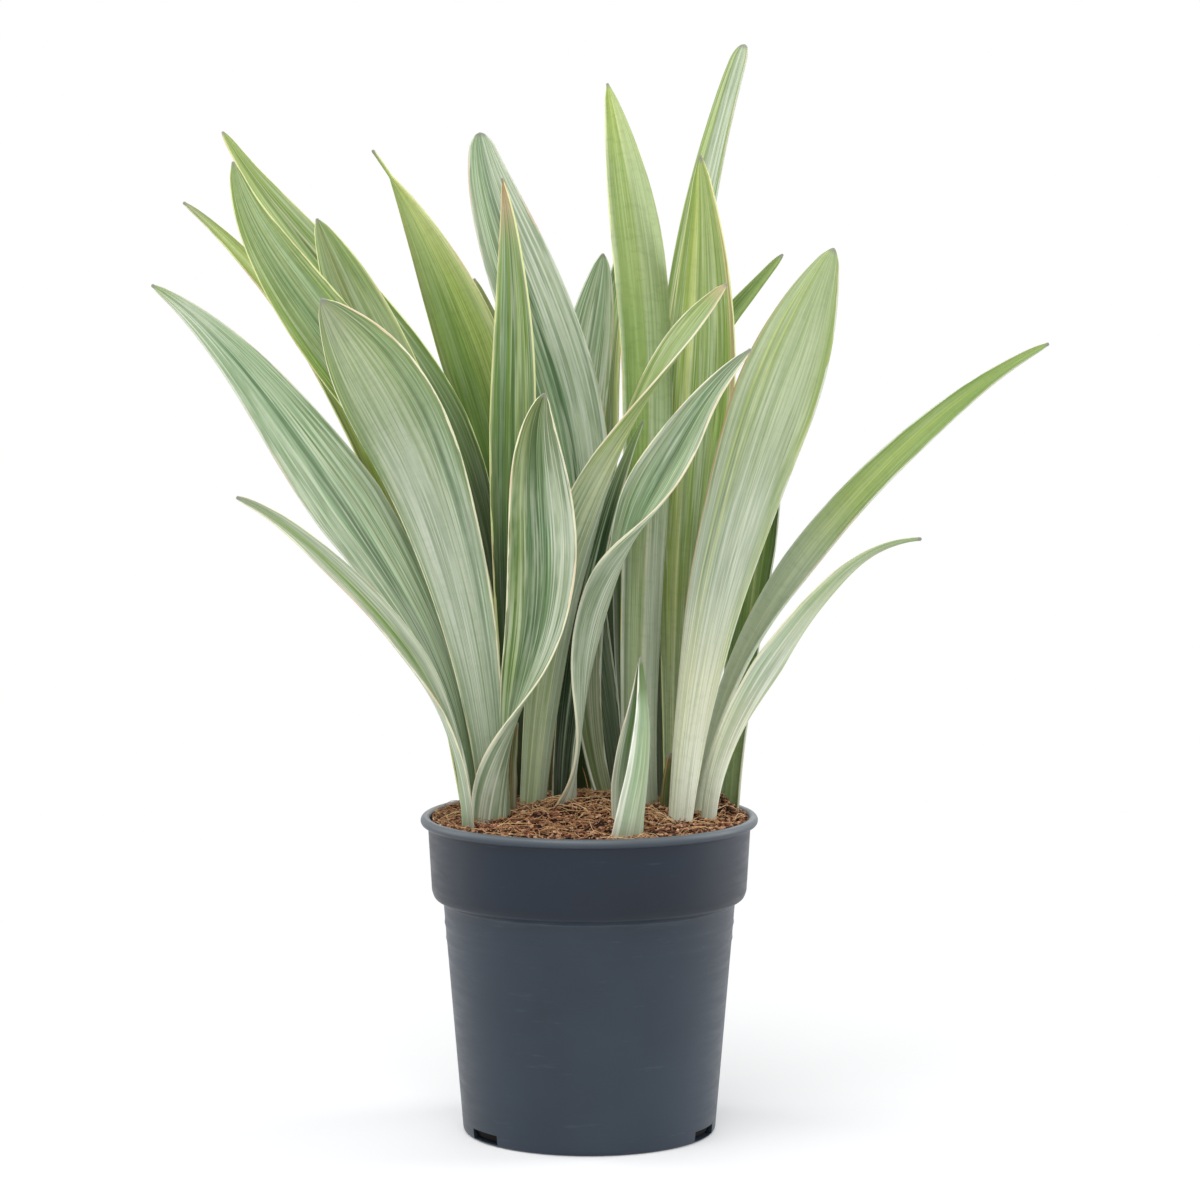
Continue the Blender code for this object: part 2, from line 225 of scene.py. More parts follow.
def turned(profile, columns):
    """The profile carried round Z: (r sin a, -r cos a, h) for each (r, h) of it and each angle a."""
    angle = np.linspace(0, 2 * pi, columns, endpoint=False)
    radius = profile[:, :1]
    height = np.broadcast_to(profile[:, 1:], (len(profile), columns))
    return np.stack([radius * np.sin(angle), -radius * np.cos(angle), height], axis=-1)


def pot_plastic():
    """Polypropylene, moulded: satin and dark slate, scuffed and dusty where pots rub when stacked, with
    painted shade on the collar and painted highlights on the top of the rim, the foot's corner and the
    shoulder.
    """
    made = new_material("polypropylene moulded slate")
    tree = made.node_tree
    where = add(tree, "TexCoord", {}).outputs["Object"]
    height = add(tree, "SeparateXYZ", {0: where}).outputs[2]
    cloud = add(tree, "TexNoise", {"Vector": where, "Scale": 14.0, "Detail": 4.0})
    # The collar is darker than the body, a painted shade, and the top of the rim is lightened to grey, a
    # painted highlight
    shade = ramp(tree, height, (
        (0.1165, "#293542"), (0.121, "#0d1b2a"), (0.156, "#122030"), (0.159, "#323d48"),
        (0.161, "#6a7277")))
    patchy = ramp(tree, cloud.outputs[0], ((0.32, "#e0e0e0"), (0.68, "#ffffff")))
    toned = mix(tree, 1.0, shade, patchy, "MULTIPLY")
    # Rubbed dust in short level smears, some 25 mm long and 4 mm high
    smear = stretched(tree, where, (40, 40, 260), 5.0, 0.62).outputs[0]
    dusty = rescale(tree, smear, 0.62, 0.85, 0.0, 0.14)
    dusted = mix(tree, dusty, toned, linear("#7d828a"))
    # Pale lines round the foot, on the rings and along the shoulder. On the corner of the foot and under
    # the shoulder they are painted highlights where the edge catches the light, and on the rings they
    # are scuffs. Each has a height where it starts, where it is strongest and where it ends, in metres,
    # and its strength.
    scuffs_and_highlights = ((0.001, 0.0022, 0.0036, 0.7), (0.0985, 0.099, 0.0995, 0.4),
              (0.1057, 0.1065, 0.1071, 0.6), (0.1108, 0.1113, 0.1118, 0.5),
              (0.117, 0.1182, 0.1196, 0.9))
    scuff_and_highlight_lines = ramp(tree, height, [
        stop for start, peak, end, strength in scuffs_and_highlights
        for stop in ((start, 0), (peak, strength), (end, 0))])
    broken = rescale(tree, smear, 0.42, 0.62, 0.1, 0.7)
    coloured = mix(tree, reckon(tree, "MULTIPLY", scuff_and_highlight_lines, broken), dusted, linear("#7c8487"))
    sheen = rescale(tree, smear, 0.3, 0.75, 0.36, 0.5)
    # Spark-eroded mould texture, a grain of about 1 mm
    grain = add(tree, "TexNoise", {"Vector": where, "Scale": 900.0, "Detail": 2.0})
    relief = add(tree, "Bump", {"Height": grain.outputs[0], "Strength": 0.12, "Distance": 0.0002})
    return finished(made, {"Base Color": coloured, "Roughness": sheen, "IOR": 1.49,
                           "Specular IOR Level": 0.4, "Normal": relief.outputs[0]})


lip = RIM_DEPTH / 2
rim_turn = np.radians(np.linspace(-75, 180, RIM_POINTS))
rim = np.stack([RIM_RADIUS - lip + lip * np.cos(rim_turn),
                POT_HEIGHT - lip + lip * np.sin(rim_turn)], axis=-1)
outside = eased([
    (CONTACT_RADIUS - 4, BASE_RISE, 0),
    (CONTACT_RADIUS - 3, 0, 0.5),
    (CONTACT_RADIUS, 0, 0.8),
    (BODY_FOOT_RADIUS - 0.6, 0.5, 0.8),
    (BODY_FOOT_RADIUS, FOOT_CORNER, 1.0),
    (BODY_TOP_RADIUS, BODY_TOP_HEIGHT, 0.8),
    (COLLAR_FOOT_RADIUS - 1.2, COLLAR_FOOT_HEIGHT - 3.2, 1.0),
    (COLLAR_FOOT_RADIUS, COLLAR_FOOT_HEIGHT, 1.2),
    (COLLAR_TOP_RADIUS, POT_HEIGHT - RIM_DEPTH, 0.6),
    (*rim[0], 0)], spacing=1.6)
# Two faint rings that the mould leaves under the shoulder
for ring_height in RING_HEIGHTS:
    outside[:, 0] += RING_SWELL * np.exp(-((outside[:, 1] - ring_height) / RING_SPREAD) ** 2)
inside = eased([
    (*rim[-1], 0),
    (COLLAR_TOP_RADIUS - POT_WALL, POT_HEIGHT - RIM_DEPTH, 1.0),
    (COLLAR_FOOT_RADIUS - POT_WALL, COLLAR_FOOT_HEIGHT - 1, 1.0),
    (BODY_TOP_RADIUS - POT_WALL, BODY_TOP_HEIGHT, 1.0),
    (BODY_FOOT_RADIUS - POT_WALL, POT_FLOOR + 3, 1.0),
    (BODY_FOOT_RADIUS - POT_WALL - 1, POT_FLOOR, 0)], spacing=3.0)
pot_profile = np.concatenate([outside[:-1], rim, inside[1:]])
pot = place_skin("nursery_pot", turned(pot_profile, POT_COLUMNS),
                 [(0, 0, BASE_RISE), (0, 0, POT_FLOOR)], pot_plastic())
for bearing in np.radians(SLOT_BEARINGS):
    bpy.ops.mesh.primitive_cube_add(
        size=MM, rotation=(0, 0, bearing),
        location=(BODY_FOOT_RADIUS * MM * np.sin(bearing), -BODY_FOOT_RADIUS * MM * np.cos(bearing),
                  (SLOT_SILL + SLOT_SIZE[2] / 2) * MM))
    slot_block = bpy.context.object
    slot_block.scale = SLOT_SIZE
    opening = pot.modifiers.new("Drain slot", "BOOLEAN")
    opening.object = slot_block
    with bpy.context.temp_override(object=pot, active_object=pot):
        bpy.ops.object.modifier_apply(modifier=opening.name)
    bpy.data.objects.remove(slot_block)
pot.data.set_sharp_from_angle(angle=radians(SHARP_ANGLE))
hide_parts("pot")


# Soil
# Potting mix of bark and coir, poured in and watered until it has settled: a low heap that is open
# and crumbly, dark between its flakes. It ends under the rim and is 10 mm above it in the middle.
SOIL_EDGE_HEIGHT = 160.0
SOIL_MIDDLE_HEIGHT = 171.0
SOIL_GAP = 0.3
SOIL_RADIUS = COLLAR_TOP_RADIUS - POT_WALL - SOIL_GAP
FLAKE_BED = 1.2
SOIL_RINGS = 52
SOIL_COLUMNS = 150
random = np.random.default_rng(41)


def soil_height(radius):
    """The heap's height: middle + (edge - middle) s^2 (3 - 2 s), with s the share of the radius."""
    share = np.clip(radius / (COLLAR_TOP_RADIUS - POT_WALL), 0, 1)
    return SOIL_MIDDLE_HEIGHT + (SOIL_EDGE_HEIGHT - SOIL_MIDDLE_HEIGHT) * share ** 2 * (3 - 2 * share)


def lumps(x, y):
    """Lumps of the mix: crossed sine waves 10 to 40 mm long, and a clod 8 mm high at the right."""
    return (1.0 * np.sin(x / 4.1 + 1.3 * np.sin(y / 6.3)) * np.sin(y / 3.7 + x / 9.1)
            + 0.5 * np.sin(x / 1.7 + 2) * np.sin(y / 1.9 + 1.1 * np.sin(x / 2.3))
            + 8 * np.exp(-((x - 66) ** 2 + (y - 11) ** 2) / 70))


def place_scraps(name, points, faces, tone, material):
    """Many small shapes in one mesh: points[n, k] of shape n, the same faces for each, and a tone."""
    count, each = points.shape[:2]
    first = np.arange(count)[:, None, None] * each
    every = (np.array(faces) + first).reshape(-1, len(faces[0]))
    mesh = bpy.data.meshes.new(name)
    mesh.from_pydata((points.reshape(-1, 3) * MM).tolist(), [], every.tolist())
    shade = mesh.attributes.new("tone", "FLOAT", "POINT")
    shade.data.foreach_set("value", np.repeat(tone, each).astype(np.float32))
    mesh.materials.append(material)
    piece = linked(name, mesh)
    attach(piece, "root")


def loose_matter(name, tones, roughness):
    """Dead plant matter, shredded: matt, with a colour of its own for each scrap and mottled on it, and
    darkened low down by painted shade.
    """
    made = new_material(name)
    tree = made.node_tree
    where = add(tree, "TexCoord", {}).outputs["Object"]
    tone = add(tree, "Attribute", {}, attribute_name="tone")
    mottle = add(tree, "TexNoise", {"Vector": where, "Scale": 600.0, "Detail": 3.0}).outputs[0]
    shade = ramp(tree, reckon(tree, "MULTIPLY_ADD", mottle, 0.45, tone.outputs["Fac"]), tones)
    # From 155 mm up it keeps its colour, and below that it darkens to near black, a painted shade for
    # the soil deep in the pot and behind the drain slots
    height = add(tree, "SeparateXYZ", {0: where}).outputs[2]
    painted_shade_low = mix(tree, rescale(tree, height, 0.135, 0.155, 0.95, 0.0), shade, linear("#0d0b09"))
    relief = add(tree, "Bump", {"Height": mottle, "Strength": 0.5, "Distance": 0.0004})
    return finished(made, {"Base Color": painted_shade_low, "Roughness": roughness, "Specular IOR Level": 0.25,
                           "Normal": relief.outputs[0]})


# The soil's wall follows the inside of the pot, a gap away from it
soil_wall = np.array([(BODY_FOOT_RADIUS - POT_WALL - 1, POT_FLOOR),
                      (BODY_FOOT_RADIUS - POT_WALL, POT_FLOOR + 3),
                      (BODY_TOP_RADIUS - POT_WALL, BODY_TOP_HEIGHT),
                      (COLLAR_FOOT_RADIUS - POT_WALL, COLLAR_FOOT_HEIGHT - 1)])
soil_wall[:, 0] -= SOIL_GAP
soil_wall[:2, 1] += SOIL_GAP
soil_rings = np.linspace(SOIL_RADIUS, 1.5, SOIL_RINGS)
soil_top = np.stack([soil_rings, soil_height(soil_rings) - FLAKE_BED], axis=-1)
soil_grid = turned(np.concatenate([soil_wall, soil_top]), SOIL_COLUMNS)
heap = soil_grid[len(soil_wall):]
# The lumps shrink to a fifth over the 8 mm next to the pot
calm = np.clip((SOIL_RADIUS - soil_rings) / 8, 0.2, 1)[:, None]
heap[:, :, 2] += lumps(heap[:, :, 0], heap[:, :, 1]) * calm
soil = place_skin(
    "potting_soil", soil_grid, [(0, 0, POT_FLOOR + SOIL_GAP), (0, 0, SOIL_MIDDLE_HEIGHT - FLAKE_BED)],
    loose_matter("bark and coir mix settled", (
        (0.2, "#1f120c"), (0.5, "#452a1c"), (0.75, "#6b4430"), (0.95, "#8c6046")), 0.95))
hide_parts("soil")

# Bark flakes
# Pine bark, shredded and sieved: flat angular chips, 1 to 5 mm, reddish brown with pale torn
# faces. Each is a six-cornered chip that lies where it fell.
FLAKES = 12000
FLAKE_HALF_SIZES = ((0.6, 2.0), (0.3, 1.1), (0.25, 0.8))
FLAKE_DEPTH = 0.9
FLAKE_TILT = 1.2
CHIP = np.array([(-1, -0.1, 0.1), (0.1, -1, -0.2), (1, 0.2, 0.1), (-0.1, 1, -0.1), (0.1, 0, 1),
                 (-0.1, 0.1, -1)])
CHIP_FACES = [(0, 1, 4), (1, 2, 4), (2, 3, 4), (3, 0, 4), (1, 0, 5), (2, 1, 5), (3, 2, 5), (0, 3, 5)]
flake_radius = SOIL_RADIUS * np.sqrt(random.uniform(0, 1, FLAKES))
flake_radius += random.uniform(-1.5, 1.0, FLAKES)
flake_angle = random.uniform(0, 2 * pi, FLAKES)
flake_x = flake_radius * np.cos(flake_angle)
flake_y = flake_radius * np.sin(flake_angle)
flake_height = soil_height(flake_radius) - FLAKE_DEPTH + lumps(flake_x, flake_y)
flake_height += random.uniform(-1.0, 1.2, FLAKES)
flake_size = np.stack([random.uniform(*sizes, FLAKES) for sizes in FLAKE_HALF_SIZES], axis=-1)


def spun(points, turn, tip):
    """Points tilted by tip about X, then turned about Z by turn, one angle pair for each shape."""
    x, y, z = np.moveaxis(points, -1, 0)
    y, z = y * np.cos(tip) - z * np.sin(tip), y * np.sin(tip) + z * np.cos(tip)
    x, y = x * np.cos(turn) - y * np.sin(turn), x * np.sin(turn) + y * np.cos(turn)
    return np.stack([x, y, z], axis=-1)


flakes = CHIP * flake_size[:, None] * random.uniform(0.55, 1.3, (FLAKES, len(CHIP), 1))
flakes = spun(flakes, random.uniform(0, 2 * pi, (FLAKES, 1)),
              random.uniform(-FLAKE_TILT, FLAKE_TILT, (FLAKES, 1)))
flakes += np.stack([flake_x, flake_y, flake_height], axis=-1)[:, None]
place_scraps("bark_flakes", flakes, CHIP_FACES, random.uniform(0, 0.8, FLAKES) ** 1.2, loose_matter(
    "pine bark shredded", ((0.1, "#2e1a10"), (0.3, "#6d432e"), (0.55, "#9c694e"), (0.8, "#bd8c6a"),
                           (1.0, "#dcb996")), 0.9))

# Coir fibres
# Coconut fibre, teased apart: stiff springy hairs, 6 to 24 mm long and 0.2 to 0.45 mm thick, from
# tan to straw. They lie tangled on the heap, and one stands up behind the front shoot.
FIBRES = 650
FIBRE_KNOTS = 7
FIBRE_LENGTHS = (6, 24)
FIBRE_WIDTHS = (0.2, 0.45)
FIBRE_HUMP = 2.2
STANDING_FOOT = (0.5, -6, 162)
STANDING_LEAN = 4
STANDING_RISE = 24
fibre_start = np.sqrt(random.uniform(0, 1, FIBRES)) * (SOIL_RADIUS - 4)
fibre_bearing = random.uniform(0, 2 * pi, FIBRES)
fibre_turn = random.uniform(0, 2 * pi, FIBRES)
fibre_length = random.uniform(*FIBRE_LENGTHS, FIBRES)
fibre_curl = random.normal(0, 0.9, FIBRES)


def fibre_lines():
    """Midlines: a heading that swings by curl s gives x and y, and z follows the heap, with a hump."""
    s = np.linspace(0, 1, FIBRE_KNOTS)[None]
    heading = fibre_turn[:, None] + fibre_curl[:, None] * s
    step = fibre_length[:, None] / (FIBRE_KNOTS - 1)
    x = (fibre_start * np.cos(fibre_bearing))[:, None] + np.cumsum(np.cos(heading) * step, axis=1)
    y = (fibre_start * np.sin(fibre_bearing))[:, None] + np.cumsum(np.sin(heading) * step, axis=1)
    far = np.hypot(x, y)
    held = np.minimum(1, (SOIL_RADIUS - 0.8) / far)
    x, y = x * held, y * held
    hump = random.uniform(0, FIBRE_HUMP, (FIBRES, 1)) * 4 * s * (1 - s)
    return np.stack([x, y, soil_height(np.hypot(x, y)) + 0.2 + lumps(x, y) * 0.8 + hump], axis=-1)


def strands(lines, thickness):
    """Three-sided tubes: each midline point gets corners level, above and across it, tapered at ends."""
    along = np.gradient(lines, axis=1)
    along /= np.linalg.norm(along, axis=2, keepdims=True)
    across = np.cross(along, np.array([0.1, 0.05, 1.0]))
    across /= np.linalg.norm(across, axis=2, keepdims=True)
    up = np.cross(across, along)
    taper = np.full((1, lines.shape[1], 1), 1.0)
    taper[:, [0, -1]] = 0.3
    corner = [np.cos(a) * across + np.sin(a) * up for a in np.radians((90, 210, 330))]
    tube = np.stack([lines + thickness / 2 * taper * c for c in corner], axis=2)
    return tube.reshape(len(lines), -1, 3)


last = 3 * (FIBRE_KNOTS - 1)
sides = [(k + a, k + b, k + 3 + a, k + 3 + b) for k in range(0, last, 3)
         for a, b in ((0, 1), (1, 2), (2, 0))]
FIBRE_FACES = [(a, b, d) for a, b, c, d in sides] + [(a, d, c) for a, b, c, d in sides]
FIBRE_FACES += [(2, 1, 0), (last, last + 1, last + 2)]
lines = fibre_lines()
rise = np.linspace(0, 1, FIBRE_KNOTS)
lines[0] = STANDING_FOOT
lines[0] += np.stack([-STANDING_LEAN * rise ** 2, 0 * rise, STANDING_RISE * rise], axis=-1)
fibre_width = random.uniform(*FIBRE_WIDTHS, (FIBRES, 1, 1))
place_scraps("coir_fibres", strands(lines, fibre_width), FIBRE_FACES,
             random.uniform(0.1, 0.7, FIBRES), loose_matter(
                 "coconut fibre teased", ((0.1, "#6d472b"), (0.4, "#9c7048"), (0.7, "#c79f6e"),
                                          (1.0, "#e6cda2")), 0.8))


# Leaves
# Thick, fibrous leaves that each rise from the rootstock under the soil. A leaf is one arched blade,
# grown from its foot up, waxy, striped along its length, with a hard pale edge and a dry awl tip.
#
# A leaf's route is points of its midrib, spread evenly along it. Its widths are those in the soil,
# at the share widest of its length, and where its end rounds off, and taper is the power that it
# narrows with. facing gives the bearings of its inner face, 0 for the front and 90 for the right,
# wrap the angles that its section bends through, in degrees, and awl the share that ends it bare.
Leaf = namedtuple("Leaf", "name route foot_width width widest taper tip facing wrap awl",
                  defaults=(0,))
FOOT_THICKNESS = 3.4
BLADE_THICKNESS = 2.2
TIP_THICKNESS = 1.3
MARGIN_THICKNESS = 0.9
EDGE_WAVE = 0.35
EDGE_WAVES = 3.2
AWL_WIDTH = 1.8
NOSE_TURNS = (25, 50, 72)
ROUND_SHARE = 0.025
UPRIGHT_SHARE = 0.07
NARROW_WIDTH = 16
ROUTE_STEPS = 60
STATIONS = 150
STATION_POWER = 1.35
ACROSS = 26
PHASE_STEP = 0.37
POLE_DISTANCE = 9
# deep is near black and mostly stands for painted shade
TONES = {
    "cream": "#ebe9c8", "white": "#f0f2e2", "lemon": "#dde3a2", "rose": "#d9b696",
    "frost": "#d0d8c1", "mist": "#c2cbb6", "silver": "#b2bda3", "stone": "#9a9f8b",
    "mint": "#a6bd99", "sage": "#94a67a", "fern": "#9db06c", "jade": "#7b9670",
    "pine": "#4c6945", "lime": "#acbd64", "leaf": "#809a50", "olive": "#80854c",
    "moss": "#4e6a2b", "deep": "#18260c", "bark": "#85745c", "rust": "#b07a54", "grey": "#8b8b80"}


def through(values, share):
    """Values spread evenly along a length, read at a share of it on the polynomial through them."""
    values = np.asarray(values, float)
    terms = np.linalg.solve(np.vander(np.linspace(0, 1, len(values))), values)
    return np.vander(np.atleast_1d(share), len(values)) @ terms


def leaf_width(leaf, share):
    """Width along the leaf, which grows to the widest place and tapers to a rounded tip."""
    rise = np.clip(share / leaf.widest, 0, 1)
    growth = (rise + rise * rise * (3 - 2 * rise)) / 2
    fall = np.clip((share - leaf.widest) / (1 - leaf.awl - leaf.widest), 0, 1) ** leaf.taper
    lower = leaf.foot_width + (leaf.width - leaf.foot_width) * growth
    upper = leaf.tip + (leaf.width - leaf.tip) * (1 - fall)
    end = np.clip((1 - share) / ROUND_SHARE, 0, 1)
    rounded = upper * np.sqrt(1 - (1 - end) ** 2)
    return np.where(share < leaf.widest, lower, np.maximum(rounded, AWL_WIDTH))


def leaf_thickness(share):
    """Thickness at the midrib: a fleshy foot that thins as e^(-6 s), and a tip that thins as s^3."""
    foot = (FOOT_THICKNESS - BLADE_THICKNESS) * np.exp(-6 * share)
    return BLADE_THICKNESS + foot - (BLADE_THICKNESS - TIP_THICKNESS) * share ** 3


def unit(vectors):
    """Each vector brought to length one."""
    return vectors / np.linalg.norm(vectors, axis=1, keepdims=True)


def leaf_frame(leaf, share):
    """Midrib, side and inner directions at each share. The foot stands upright."""
    midrib = through(leaf.route, share)
    step = 1e-4
    along = unit(through(leaf.route, share + step) - through(leaf.route, share - step))
    upright = np.clip(1 - share / UPRIGHT_SHARE, 0, 1)[:, None]
    along = unit(along * (1 - upright) + np.array([0, 0, 1]) * upright)
    facing = np.radians(through(leaf.facing, share))
    inward = np.stack([np.sin(facing), -np.cos(facing), 0 * facing], axis=1)
    side = unit(np.cross(along, inward))
    return midrib, side, np.cross(side, along)


def blade(leaf, phase, edges, thin):
    """Rings of one blade, its poles, each point's distance from an edge, its uv, and the length.

    A ring runs across the outer face from place 1 to -1 and back across the inner face. Its section
    is an arc of radius width / wrap, and a face stands off it by half the thickness, which swells
    as 1 - place^2 and rounds off over the last of the edge. thin scales the thickness. The edges
    wave with share and phase, and the wave fades out at both ends. A blunt nose closes the tip.
    The distance is counted in widths of the pale edge, which the edges give for place 1 and -1.
    """
    steps = np.diff(through(leaf.route, np.linspace(0, 1, ROUTE_STEPS)), axis=0)
    length = np.linalg.norm(steps, axis=1).sum()
    nose = AWL_WIDTH / 2 / length
    even = np.linspace(0, 1, STATIONS)
    share = np.concatenate([(1 - (1 - even) ** STATION_POWER) * (1 - nose),
                            1 - nose + nose * np.sin(np.radians(NOSE_TURNS))])
    blunt = np.sqrt(1 - np.clip((share - 1 + nose) / nose, 0, 1) ** 2)
    place = np.sin(np.linspace(1, -1, ACROSS + 1) * pi / 2)
    place = np.concatenate([place, place[-2:0:-1]])[None]
    face = np.where(np.arange(2 * ACROSS) < ACROSS, 1, -1)[None]
    midrib, side, inward = leaf_frame(leaf, share)
    wrap = np.radians(through(leaf.wrap, share))[:, None]
    width = leaf_width(leaf, share)[:, None]
    radius = width / wrap
    edge = MARGIN_THICKNESS / width
    nosing = np.sqrt(1 - np.clip((np.abs(place) - 1 + edge) / edge, 0, 1) ** 2)
    swell = (leaf_thickness(share)[:, None] - MARGIN_THICKNESS) * (1 - place ** 2)
    wave = EDGE_WAVE * np.sin(2 * pi * (EDGE_WAVES * share + phase))[:, None] * place ** 3
    wave *= np.clip((1 - share) * 8, 0, 1)[:, None] * np.clip(share * 5 - 0.5, 0, 1)[:, None]
    reach = radius + (face * thin * (MARGIN_THICKNESS + swell) / 2 * nosing + wave) * blunt[:, None]
    turn = wrap / 2 * place * blunt[:, None]
    across = reach * np.sin(turn)
    depth = radius - reach * np.cos(turn)
    rings = midrib[:, None] + across[:, :, None] * side[:, None] + depth[:, :, None] * inward[:, None]
    margin = (1 - np.abs(place)) / 2 * np.maximum(width, NARROW_WIDTH)
    margin = margin / np.where(place > 0, edges[0], edges[1])
    round_share = np.arange(2 * ACROSS + 1) / (2 * ACROSS)
    spread = (1 - np.sin((1 - 2 * ((round_share * 2) % 1)) * pi / 2)) / 4 + np.floor(round_share * 2) / 2
    spread[-1] = 1
    uv = np.stack(np.broadcast_arrays(spread[None], share[:, None]), axis=-1)
    return rings, [midrib[0], through(leaf.route, 1)[0]], margin, uv, length


def bands(text, start):
    """Stops for half a ramp from words such as '0 cream 40 jade', with places in percent."""
    words = text.split()
    return [(start + 0.5 * float(place) / 100, TONES[tone])
            for place, tone in zip(words[::2], words[1::2])]


def mirrored(text):
    """The same words read from the other side."""
    words = text.split()
    pairs = [f"{100 - float(place):g} {tone}" for place, tone in zip(words[::2], words[1::2])]
    return " ".join(reversed(pairs))


# The stripes of one leaf: tones across its outer and its inner face from left to right, where an
# empty one mirrors the other, tones and strengths along it, the tone of its edges and their widths
# at left and right in mm, and how strong its dark lines, its pale lines and its cross marks are.
# A deep tint along the foot of a leaf that stands behind is painted shade.
Coat = namedtuple("Coat", "outer inner along edge edges dark pale cross", defaults=(0.5, 0.4, 0.12))


def waxy_leaf(leaf, coat, length, number, finish):
    """Leaf skin under its wax, grown: satin, with cells in long files that draw stripes and lines."""
    made = new_material(f"{finish} {leaf.name}")
    tree = made.node_tree
    place = add(tree, "UVMap", {}, uv_map="round_and_along").outputs[0]
    girth = 2 * leaf.width

    def drawn_out(width, reach, seed, detail=2.0):
        """Noise whose cells are that wide across the leaf and reach that far along it, in mm."""
        return stretched(tree, place, (girth / width, length / reach, 1), detail, 0.6,
                         (number * 3.7 + seed, number * 1.9, 0), noise_dimensions="2D")

    def hairlines(noise, half, broad, strength):
        """Crisp lines where one noise passes its middle, which a broad one fades in and out."""
        line = ramp(tree, noise.outputs[0], (
            (0.5 - half, 0), (0.5 - half / 2, 1), (0.5 + half / 2, 1), (0.5 + half, 0)))
        here = rescale(tree, broad, 0.35, 0.55, 0.3 * strength, strength)
        return reckon(tree, "MULTIPLY", line, here)

    # Stripe edges waver by up to half a mm over some 60 mm
    waver = drawn_out(5, 60, 0)
    swung = add(tree, "VectorMath", {0: waver.outputs[1], 1: (1.6 / girth, 0, 0), 2: place},
                operation="MULTIPLY_ADD")
    centred = add(tree, "VectorMath", {0: swung.outputs[0], 1: (0.8 / girth, 0, 0)},
                  operation="SUBTRACT")
    parts = add(tree, "SeparateXYZ", {0: centred.outputs[0]})
    outer = coat.outer or mirrored(coat.inner)
    inner = coat.inner or mirrored(coat.outer)
    stripes = ramp(tree, parts.outputs[0], bands(outer, 0) + bands(inner, 0.5))
    # Clouds of 12 mm by 50 mm and fine streaks of 0.8 mm by 40 mm shift the tone
    cloud = drawn_out(12, 50, 5.1, 3.0).outputs[0]
    fine = drawn_out(0.8, 40, 9.3, 3.0).outputs[0]
    clouded = mix(tree, 0.35, stripes, cloud, "OVERLAY")
    streaked = mix(tree, 0.65, clouded, fine, "OVERLAY")
    # Pale lines 0.8 mm wide and 3 mm apart, then the tint of this part of the leaf; its deep tint at the
    # feet of leaves that stand behind is painted shade
    pale = hairlines(drawn_out(3.4, 170, 17.9, 1.0), 0.08, waver.outputs[0], coat.pale)
    lined = mix(tree, pale, streaked, linear("#dbe2c8"))
    words = coat.along.split()
    tint = add(tree, "ValToRGB", {0: parts.outputs[1]}, stops=[
        (float(at) / 100, (*linear(TONES[tone])[:3], float(strength)))
        for at, tone, strength in zip(words[::3], words[1::3], words[2::3])])
    tinted = mix(tree, tint.outputs[1], lined, tint.outputs[0])
    # Dark pencil lines 0.8 mm wide and 2.5 mm apart, over the tint
    dark = hairlines(drawn_out(2.6, 210, 13.7, 1.0), 0.12, cloud, coat.dark)
    ruled = mix(tree, dark, tinted, linear("#86a078"), "MULTIPLY")
    # Cross marks, 4 mm apart along the leaf and twice as wide, where it is tinted
    cross = stretched(tree, place, (girth / 9, length / 4, 1), 5.0, 0.65, noise_dimensions="2D")
    marked = rescale(tree, cross.outputs[0], 0.5, 0.66, 0.0, coat.cross)
    shown = reckon(tree, "MULTIPLY", marked, tint.outputs[1])
    crossed = mix(tree, shown, ruled, linear("#56703a"))
    # The edge swells and thins over some 25 mm, and reddens where it has dried
    ragged = drawn_out(40, 25, 21.3)
    edge_end = rescale(tree, ragged.outputs[0], 0.35, 0.62, 0.1, 1.2)
    distance = add(tree, "Attribute", {}, attribute_name="from_edge").outputs["Fac"]
    rim_share = rescale(tree, distance, edge_end, reckon(tree, "ADD", edge_end, 0.3), 1.0, 0.0)
    dried = rescale(tree, waver.outputs[0], 0.52, 0.66, 0.0, 0.6)
    edge_tone = mix(tree, dried, linear(TONES[coat.edge]), linear(TONES["rose"]))
    bordered = mix(tree, rim_share, crossed, edge_tone)
    # The last 3.5 mm have died back to a grey awl
    awl = rescale(tree, parts.outputs[1], 1 - 3.5 / length, 1 - 1.5 / length, 0.0, 0.75)
    coloured = mix(tree, awl, bordered, linear(TONES["grey"]))
    gloss = rescale(tree, fine, 0.3, 0.7, 0.42, 0.58)
    relief = add(tree, "Bump", {"Height": fine, "Strength": 0.25, "Distance": 0.0004})
    return finished(made, {"Base Color": coloured, "Roughness": gloss, "IOR": 1.45,
                           "Specular IOR Level": 0.25, "Normal": relief.outputs[0]})


def grow(leaf, coat, finish="leaf wax on striped skin", thin=1.0):
    """One leaf in its place, in its own coat. One of full thickness takes its solid's place."""
    number = len(grown)
    edges = coat.edges[::-1] if coat.inner else coat.edges
    rings, poles, margin, uv, length = blade(leaf, number * PHASE_STEP, edges, thin)
    piece = place_skin(f"blade_{leaf.name}", rings, poles,
                       waxy_leaf(leaf, coat, length, number, finish), uv=uv)
    distance = np.append(margin.ravel(), [POLE_DISTANCE] * len(poles)).astype(np.float32)
    piece.data.attributes.new("from_edge", "FLOAT", "POINT").data.foreach_set("value", distance)
    grown.append(leaf.name)
    if thin == 1.0:
        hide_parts(f"leaf_{leaf.name}")


grown = []

